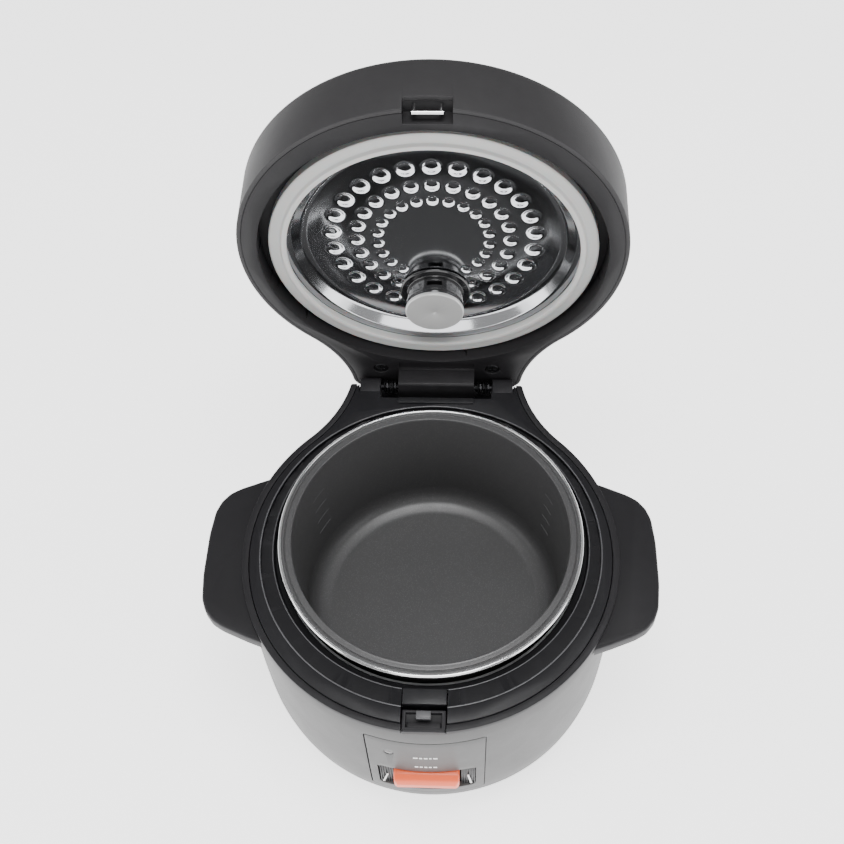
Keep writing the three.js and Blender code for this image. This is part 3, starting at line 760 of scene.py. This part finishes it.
# ---- lid latch on the body ----
def latch():
    housing = joined(
        block((-10.8, 10.8), (-91.5, -83.4), (123.8, MATE_Z - 0.2)),
        block((-10.8, 10.8), (-91.5, -89.5), (109, 125)),
        *[block(x, (-100, -89.5), (109, 118)) for x in both_sides((8.4, 10.8))],
    )
    housing = carved(housing, pin("x", 1.5, (-20, 20), -97.6, 113))
    piece("latch_block", housing, BLACK, "base", "black_plastic", ["latch_housing"], edge=0.35)
    tray = block((-10.5, 10.5), (-104.2, -94.3), (125.6, 129.7))
    tray = carved(tray, block((-8.7, 8.7), (-103, -95.6), (127.2, 132)))
    lip = softened(rounded_box((-10.5, 10.5), (125.9, 129.7), 0.9, (-105.2, -103)), 0.3)
    button = joined(softened(tray, 0.3), lip)
    hook = prism(rounded([
        (-98.6, 113), (-96.6, 113), (-96.6, 135.2, 0.8), (-99.9, 135.2, 0.6), (-100.6, 134.5, 0.3),
        (-100.6, 133.9), (-98.6, 133.9, 0.4),
    ]), -3.5, 3.5, "x")
    hub = carved(pin("x", 3, (-8.1, 8.1), -97.6, 113, 40), pin("x", 1.5, (-20, 20), -97.6, 113))
    piece("latch_frame", button, RIM_DARK, "latch", "dark_shell", ["latch_button"])
    piece("latch_hook", hook, HOOK_GREY, "latch", "dark_shell", ["latch_button"], edge=0.25)
    piece("latch_hub", hub, BLACK, "latch", "dark_shell", ["latch_button"], edge=0.25)
    press = softened(rounded_box((-8.2, 8.2), (127.2, 128.4), 0.5, (-103.1, -99.9)), 0.3)
    piece("latch_press_face", press, RIM_DARK, "latch", "dark_shell", ["latch_button"])


# ---- hinge ----
def hinge():
    leaf = rounded_box((-21.4, 21.4), (MATE_Z + GAP, MATE_Z + 0.9), 0.2, (87.3, 91))
    piece("hinge_leaf_strip", leaf, BLACK, "base", "black_plastic", ["hinge_leaf"], edge=0.12)
    shaft = turned(rounded([(0, -43.6), (1.6, -43.6, 0.4), (1.6, 43.6, 0.4), (0, 43.6)], closed=False), 32)
    shaft.transform(Matrix.Translation((0, HINGE_Y, HINGE_Z)) @ Matrix.Rotation(math.radians(90), 4, "Y"))
    piece("hinge_shaft", shaft, DARK_STEEL, "base", "steel", ["hinge_pin"])
    back_edge = [(-47.6, 99.5), (47.6, 99.5), (47.6, 111.8, 1.5), (-47.6, 111.8, 1.5)]
    apron = prism(rounded(back_edge), 109.6, 112.8)
    piece("hinge_apron", apron, RIM_DARK, "base", "dark_shell", edge=0.6)


# ---- pot ----
def pot():
    wall = rounded([
        (0, POT_FLOOR_Z), (60.5, POT_FLOOR_Z, 12), (67, 55.2, 9), (71.2, 59.5, 8), (72.8, 66, 20),
        (74.8, 128, 30), (75.2, RIM_Z - 2.6), (78.3, RIM_Z - 2.6), (78.3, RIM_Z - 0.5, 0.3),
        (77, RIM_Z - 0.45, 0.3), (76.75, RIM_Z - 0.95, 0.15), (76.35, RIM_Z - 0.95, 0.15),
        (76.1, RIM_Z - 0.4, 0.3), (74.1, RIM_Z - 0.3, 0.6), (73.1, RIM_Z - 0.05, 0.5),
        (72.75, RIM_Z - 1.2, 0.8), (71.2, 66.5, 22), (69.8, 61, 8), (66.2, 57.2, 8), (60, 55.6, 12), (0, 55.6),
    ], closed=False)
    piece("pot_wall", turned(wall, FINE), COATING, "pot", "pot_coating", ["inner_pot"])
    bead = rounded([
        (78.2, RIM_Z - 2.6), (79.4, RIM_Z - 2.6, 0.5), (RIM_R, RIM_Z - 1.8, 0.5), (RIM_R, RIM_Z - 0.7, 0.6),
        (79.3, RIM_Z, 0.6), (78.5, RIM_Z, 0.4), (78.2, RIM_Z - 0.5),
    ])
    piece("pot_rim_ring", turned(bead, 256), RIM_STEEL, "pot", "steel", ["inner_pot"])
    level_marks()


def level_marks():
    """Short raised level lines on the inside wall of the pot."""
    for k, z in enumerate((82, 93, 104, 115)):
        r = 71.2 + (z - 66.5) * (73 - 71.2) / (RIM_Z - 1.8 - 66.5)
        for name, degrees, half in ((f"level_left_{k + 1}", 152, 4.4), (f"level_right_{k + 1}", 28, 3.2)):
            start, end = math.radians(degrees - half), math.radians(degrees + half)
            outer = arc(0, 0, r + 0.1, start, end, 10)
            inner = arc(0, 0, r - 0.22, end, start, 10)
            piece(name, prism(outer + inner, z, z + 0.7), LEVEL_GREY, "pot", "pot_coating")


# ---- lid, drawn closed ----
def lid_piece(name, bm, material, slot, replaces=(), body="lid", **finish):
    return piece(name, bm, material, body, slot, replaces, place=LID_PLACE, **finish)


def lid_drum():
    crown = 4
    loops = []
    inner_top = LID_TOP_Z - WALL
    inner = WALL
    loops.append(neck_loop(inner + 2.2, LID_NECK_Y - inner - 2.2, 5.4, inner_top))
    loops.append(neck_loop(inner + 0.6, LID_NECK_Y - inner - 0.6, 7, inner_top - 0.6))
    loops.append(neck_loop(inner, LID_NECK_Y - inner, 7.6, inner_top - 2.2))
    loops.append(neck_loop(inner, LID_NECK_Y - inner, 7.6, LID_Z + 0.3))
    loops.append(neck_loop(inner - 0.3, LID_NECK_Y - inner + 0.3, 7.9, LID_Z))
    loops.append(neck_loop(0.5, LID_NECK_Y - 0.5, 9.5, LID_Z))
    loops.append(neck_loop(0.15, LID_NECK_Y - 0.15, 9.85, LID_Z + 0.15))
    loops.append(neck_loop(0, LID_NECK_Y, 10, LID_Z + 0.5))
    for k in range(9):
        t = math.radians(90 * k / 8)
        inset = crown * (1 - math.cos(t))
        height = LID_TOP_Z - crown + crown * math.sin(t)
        loops.append(neck_loop(inset, LID_NECK_Y - inset, 10 - inset, height))
    loops.append(neck_loop(crown + 1.5, LID_NECK_Y - crown - 1.5, 8.5 - crown, LID_TOP_Z))
    drum = lofted(loops)
    notch = rounded_box((-11.2, 11.2), (120, 138), 0.8, (-120, -96.2))
    vent = pin("z", 13, (150, 170), 0, CAP_Y, 64)
    lid_piece("lid_drum", carved(drum, notch, vent), DARK, "dark_shell", ["lid_outer_shell"], edge=0.2)


def lid_flange():
    inset = WALL + 0.03
    outline = [neck_loop(inset, LID_NECK_Y - inset, 7.3, z) for z in (LID_Z, LID_Z + 2.8)]
    plate = carved(lofted(outline), disc(88.7, 120, 150, (0, -3.7)))
    skirt = turned([(88.7, LID_Z + 0.01), (90.7, LID_Z + 0.01), (90.7, 144), (88.7, 144)], FINE, (0, -3.7))
    seat = carved(disc(90, 142, 144, (0, -3.7)), disc(77, 140, 146))
    pocket = block((-12.8, 12.8), (-103.4, -94), (LID_Z + 2, 139.6))
    hinge_block = prism(rounded([
        (93, 119.5, 1.6), (110, 119.5, 3), (110, LID_Z + 1), (93, LID_Z + 1),
    ]), -21.7, 21.7, "x")
    seats = [pin("z", 4.3, (LID_Z - 1, LID_Z + 1.6), x, 92.5, 48) for x in (32, -32)]
    holes = [pin("z", 1.8, (LID_Z - 1, LID_Z + 5), x, 92.5) for x in (32, -32)]
    bore = pin("x", 1.9, (-60, 60), HINGE_Y, HINGE_Z)
    notch = block((-11.2, 11.2), (-120, -96.2), (120, 138))
    leaf_room = block((-21.8, 21.8), (86.9, 93.2), (LID_Z - 1, LID_Z + 1.1))
    inside = neck_slab(inset, LID_NECK_Y - inset, 7.3, 110, 151)
    recess = disc(88.7, 120, 141.9, (0, -3.7))
    whole = kept(joined(plate, skirt, seat, pocket, hinge_block), inside)
    whole = carved(whole, recess, notch, bore, leaf_room, *seats, *holes)
    lid_piece("lid_flange_moulding", whole, FLANGE, "black_plastic", ["lid_flange"], edge=0.14)


def striker():
    bar = pin("x", 1, (-7, 7), -100.8, 132.6, 24)
    legs = [pin("z", 1, (132.6, 137.7), x, -100.8, 24) for x in (6, -6)]
    lid_piece("striker_staple", joined(bar, *legs), RIM_STEEL, "steel", ["striker_bar"])


def cross_screw(name, r, low, high, centre, material, slot, replaces, body, place):
    """A screw head with a cross recess, domed on its outer side, with its shank."""
    shank = 1.35
    tall = high - low
    dome = [(0, 0), (r * 0.5, 0.06 * tall), (r * 0.85, 0.25 * tall), (r, 0.7 * tall), (r, tall), (0, tall)]
    head = turned(dome, 40)
    long, thin, deep = (-r * 0.62, r * 0.62), (-0.32, 0.32), (-1, 0.55 * tall)
    slots = [block(long, thin, deep), block(thin, long, deep)]
    whole = joined(carved(head, *slots), pin("z", shank, (tall - 0.1, tall + 7.6), 0, 0, 24))
    whole.transform(Matrix.Translation((centre[0], centre[1], low)))
    piece(name, whole, material, body, slot, replaces, place=place, edge=0.08)


def lid_screws():
    for k, x in enumerate((32, -32)):
        name = f"lid_screw_{k + 1}"
        limits = (LID_Z + 0.2, LID_Z + 1.3)
        cross_screw(f"{name}_head", 3.6, *limits, (x, 92.5), DARK_STEEL, "steel", [name], "lid", LID_PLACE)


def gasket():
    lip = rounded([
        (75, 135.7, 0.2), (76.2, 135.4, 0.5), (77.5, 135.5, 0.6), (78.6, 136.9, 0.9), (80, 137.1, 0.5),
        (83.3, 136.9, 0.5), (84.2, 137.3, 0.4), (84.2, 141.7), (77.3, 141.7), (77.3, 139, 0.5),
        (75, 137.2, 0.3),
    ])
    lid_piece("lid_gasket_ring", turned(lip, 256), SEAL, "seal", ["lid_gasket"])


# Radius of the row, how many, their radius and depth, and half the gap at the steam cap in degrees.
DIMPLE_ROWS = (
    (52.5, 23, 4.75, 1.1, 26),
    (40, 21, 4.0, 0.95, 29),
    (29.2, 19, 3.3, 0.8, 36),
)


def dimple_places():
    """Three rows of dimples in a horseshoe that opens at the steam cap."""
    places = []
    for ring, count, r, depth, gap in DIMPLE_ROWS:
        for k in range(count):
            t = math.radians(90 + gap + (360 - 2 * gap) * k / (count - 1))
            places.append((ring * math.cos(t), ring * math.sin(t), r, depth))
    return places


def dimple_lift(x, y, places):
    """How far the sheet is pressed in at a spot: flat-bottomed cups with a soft lip."""
    for px, py, r, depth in places:
        away = math.hypot(x - px, y - py) / r
        if away < 1:
            return depth * (1 - away**6) ** 2
    return 0


def inner_plate():
    face_z = PLATE_Z - 0.65
    sheet = 0.35
    places = dimple_places()
    steps = 400
    radii = [0.8 * k for k in range(1, 76)]
    front = [(r, face_z) for r in radii]
    bm = bmesh.new()
    rim = rounded([(60.4, face_z), (67.6, face_z, 6), (73.4, 142.1, 3), (76.6, 141.45)], closed=False)
    levels = front + rim[1:]
    angles = [2 * math.pi * k / steps for k in range(steps)]

    def ring(r, z, pressed):
        row = []
        sway = 0.16 * max(0, min(1, (r - 60) / 8))
        for t in angles:
            x, y = r * math.cos(t), r * math.sin(t)
            lift = sway * math.sin(5 * t + 0.6) * math.sin(2 * t)
            if pressed and 24 < r < 59:
                lift = dimple_lift(x, y, places)
            row.append(bm.verts.new((x, y, z + lift)))
        return row

    rings = [[bm.verts.new((0, 0, face_z))] * steps]
    rings += [ring(r, z, True) for r, z in levels]
    rings += [ring(r, z + sheet, False) for r, z in reversed(levels[-len(rim):])]
    back = face_z + 1.35
    rings += [ring(r, back, False) for r in (59.5, 30)]
    rings.append([bm.verts.new((0, 0, back))] * steps)
    for a, b in zip(rings, rings[1:]):
        for k in range(steps):
            n = (k + 1) % steps
            corners = list(dict.fromkeys([a[k], a[n], b[n], b[k]]))
            if len(corners) > 2:
                bm.faces.new(corners)
    plate = carved(outward(bm), pin("z", 12.2, (140, 155), 0, CAP_Y, 64))
    lid_piece("lid_inner_plate_dish", plate, MIRROR, "polished_plate", ["lid_inner_plate"], smooth=40)


def steam_cap():
    slot = block((-4, 4), (CAP_Y - 20, CAP_Y), (139.6, 142.6))
    cup = rounded([
        (0, 133.1), (14.9, 133.1), (14.9, 134.4), (15, 134.6), (15, 145.6, 0.6), (18.4, 145.6, 0.3),
        (19.2, 146.2, 0.3), (19.2, PLATE_Z - 1.3, 0.3), (12.8, PLATE_Z - 1.3), (12.8, 135.6), (0, 135.6),
    ], closed=False)
    band = rounded([(15.02, 136.6), (15.5, 136.8, 0.2), (15.5, 138.2, 0.2), (15.02, 138.4)])
    face = rounded([
        (0, 132.75), (0.5, 132.75), (0.75, 132.4), (1.0, 132.25), (15.2, 132.2, 0.3), (15.8, 132.7, 0.3),
        (15.8, 134.0, 0.2), (15.6, 134.2), (14.9, 134.2), (14.9, 133.1), (0, 133.1),
    ], closed=False)
    finish = {"slot": "steam_cap", "replaces": ["steam_cap"], "body": "steam_cap"}
    round_cup = carved(turned(cup, 96, (0, CAP_Y)), slot)
    lid_piece("steam_cap_cup", round_cup, GLOSS_BLACK, edge=0.2, **finish)
    lid_piece("steam_cap_band", turned(band, 96, (0, CAP_Y)), GLOSS_BLACK, **finish)
    lid_piece("steam_cap_face", turned(face, 96, (0, CAP_Y)), CAP_FACE, **finish)


def steam_vent():
    tube = rounded([
        (9.6, 145, 0.4), (11.7, 145, 0.4), (11.7, 149.2), (15, 149.2), (15, 150.8), (11.7, 150.8),
        (11.7, 164.4), (9.6, 164.4),
    ])
    lid_piece("steam_tube_wall", turned(tube, 72, (0, CAP_Y)), BLACK, "black_plastic", ["steam_tube"])
    cover = rounded([
        (0, 164.8), (12.2, 164.8), (12.2, 160.5), (12.7, 160.5), (12.7, LID_TOP_Z + GAP),
        (16, LID_TOP_Z + GAP), (16, 165.6, 0.4), (15, 166.6, 0.7), (0, 166.6),
    ], closed=False)
    vents = [rounded_slot(x) for x in (-5, 0, 5)]
    whole = carved(turned(cover, 96, (0, CAP_Y)), *vents)
    lid_piece("steam_vent_disc", whole, RIM_DARK, "dark_shell", ["steam_vent_cover"], edge=0.2)


def rounded_slot(x):
    """A cutter for one slot of the vent."""
    half = 1.1
    back_end = arc(x, CAP_Y + 7 - half, half, 0, math.pi, 12)
    front_end = arc(x, CAP_Y - 7 + half, half, math.pi, 2 * math.pi, 12)
    return prism(back_end + front_end, 160, 170)


# ---- underside and back ----
def underside():
    slots = [block((x - 2, x + 2), (20, 48), (0, 10)) for x in (-24, -12, 0, 12, 24)]
    holes = [pin("z", 1.7, (0, 10), x, y) for x, y in SCREW_PLACES]
    plate = carved(disc(82, 4.5, 7.7, (0, SHELL_Y)), *slots, *holes)
    piece("base_plate_disc", plate, BLACK, "base", "black_plastic", ["base_plate"], edge=0.4)
    foot = rounded([(0, 0), (6.6, 0, 0.8), (8, 1.4, 1), (8, 4.2), (0, 4.2)], closed=False)
    for k, (centre, screw) in enumerate(zip(FOOT_PLACES, SCREW_PLACES)):
        pad = turned(foot, 48, centre)
        piece(f"foot_{k + 1}_pad", pad, RUBBER, "base", "foot_rubber", [f"foot_{k + 1}"])
        name = f"base_screw_{k + 1}"
        cross_screw(f"{name}_head", 2.8, 2.8, 4.2, screw, STEEL, "steel", [name], "base", BODY_PLACE)


def power_inlet():
    body = block((-12, 12), (68, 88), (23, 41))
    flange = rounded_box((-13, 13), (22, 42), 1.2, (86, 92))
    shell_face = disc(SHELL_R - 0.2, 0, 60, (0, SHELL_Y))
    cavity = rounded_box((-9, 9), (26, 38), 1.5, (74, 100))
    whole = carved(kept(joined(body, flange), shell_face), cavity)
    piece("power_inlet_socket", whole, BLACK, "base", "black_plastic", ["power_inlet"], edge=0.3)
    for k, x in enumerate((-4.5, 4.5)):
        shaft = turned(rounded([(0, 0), (1.2, 0), (1.2, 11.7, 0.8), (0, 11.7)], closed=False), 32)
        shaft.transform(Matrix.Translation((x, 74.3, 32)) @ Matrix.Rotation(math.radians(-90), 4, "X"))
        piece(f"inlet_pin_{k + 1}_contact", shaft, STEEL, "base", "steel", [f"inlet_pin_{k + 1}"])


# ---- heater ----
def heater():
    plate = rounded([
        (17.5, 45), (45, 45), (45, 39, 1.5), (55, 39, 1.5), (55, 45), (62, 45, 1), (62, 51.5, 1),
        (60.5, 53.2, 1), (17.5, 53.2, 0.8),
    ])
    piece("heating_plate_casting", turned(plate), CAST, "base", "cast_heater", ["heating_plate"])
    can = rounded([
        (0, 51.5), (13.6, 51.5), (13.6, 37), (15, 37), (15, 52.2, 0.8), (14, 53.2, 0.6), (0, 53.2),
    ], closed=False)
    piece("thermostat_cup", turned(can, 96), ALUMINIUM, "thermostat", "liner", ["thermostat_can"])


def hidden_works():
    """CAD nodes that stay as they are, given their finishes."""
    finishes = {
        STEEL: [
            "plate_post_1", "plate_post_2", "plate_post_3", "thermostat_bracket", "thermostat_spring",
            "magnet_rod", "lever_pivot_pin", "lever_bracket_left", "lever_bracket_right", "latch_pin",
            "latch_spring",
        ],
        DARK_STEEL: ["hinge_spring_left", "hinge_spring_right"],
        CLAY: ["heater_terminal_1", "heater_terminal_2", "terminal_block", "thermal_fuse"],
        ALUMINIUM: ["keep_warm_band"],
        BLACK: ["micro_switch"],
        CORAL: ["switch_button"],
        FOAM: ["lid_insulation"],
    }
    for material, nodes in finishes.items():
        for node in nodes:
            dress(node, material)


# ---- floor, light and camera ----
def floor():
    """A pale, gently lit table."""
    ground, tree, shader = surface("pale_floor", Roughness=0.85, Emission_Strength=2.2)
    soft = add(tree, "ShaderNodeTexNoise", Scale=3, Detail=2)
    tone = shade(tree, soft.outputs[0], (0.87, 0.87, 0.875), (0.9, 0.9, 0.9))
    wire(tree, tone, shader.inputs["Base Color"])
    wire(tree, tone, shader.inputs["Emission Color"])
    sheet = raw_object("floor", block((-15, 15), (-15, 15), (-0.02, 0)))
    sheet.data.materials.append(ground)


def lamp(name, place, target, size, power):
    light = bpy.data.lights.new(name, "AREA")
    light.shape = "ELLIPSE"
    light.size, light.size_y = size
    light.energy = power
    obj = bpy.data.objects.new(name, light)
    obj.location = place
    obj.rotation_mode = "QUATERNION"
    obj.rotation_quaternion = (Vector(target) - Vector(place)).to_track_quat("-Z", "Y")
    bpy.context.scene.collection.objects.link(obj)


def lights():
    world = bpy.data.worlds.new("studio")
    world.use_nodes = True
    bpy.context.scene.world = world
    world.node_tree.nodes["Background"].inputs["Color"].default_value = (1, 1, 1, 1)
    world.node_tree.nodes["Background"].inputs["Strength"].default_value = 0.45
    lamp("left_softbox", (-1.4, -0.5, 0.75), (0, 0, 0.15), (1.2, 1.3), 13)
    lamp("right_softbox", (1.4, -0.6, 0.7), (0, 0, 0.15), (1.2, 1.2), 11)
    lamp("front_softbox", (0.1, -1.7, 0.8), (0, 0, 0.15), (1.6, 0.9), 9)
    lamp("overhead_softbox", (0.05, -0.15, 1.5), (0, 0, 0.1), (0.7, 0.6), 17)


def camera():
    azimuth, elevation, roll = (math.radians(v) for v in (-4.52, 54.84, -2.92))
    ahead = Vector((
        math.sin(azimuth) * math.cos(elevation),
        math.cos(azimuth) * math.cos(elevation),
        -math.sin(elevation),
    ))
    level = Vector((math.cos(azimuth), -math.sin(azimuth), 0))
    upright = level.cross(ahead)
    right = math.cos(roll) * level + math.sin(roll) * upright
    up = math.cos(roll) * upright - math.sin(roll) * level
    lens = bpy.data.cameras.new("camera")
    lens.sensor_width = 36
    lens.lens = 50
    view = bpy.data.objects.new("camera", lens)
    view.matrix_world = Matrix((right, up, -ahead)).transposed().to_4x4()
    view.location = (0.0227, POT_Y - 0.3044, 0.6696)
    bpy.context.scene.collection.objects.link(view)
    bpy.context.scene.camera = view


def cooker():
    belly()
    handle_ring()
    pot_collar()
    chamber_liner()
    control_panel()
    indicator_lens()
    printed_marks()
    lever_pocket()
    lever_ticks()
    cook_lever()
    latch()
    hinge()
    pot()
    lid_drum()
    lid_flange()
    striker()
    lid_screws()
    gasket()
    inner_plate()
    steam_cap()
    steam_vent()
    underside()
    power_inlet()
    heater()
    hidden_works()


cooker()
floor()
lights()
camera()
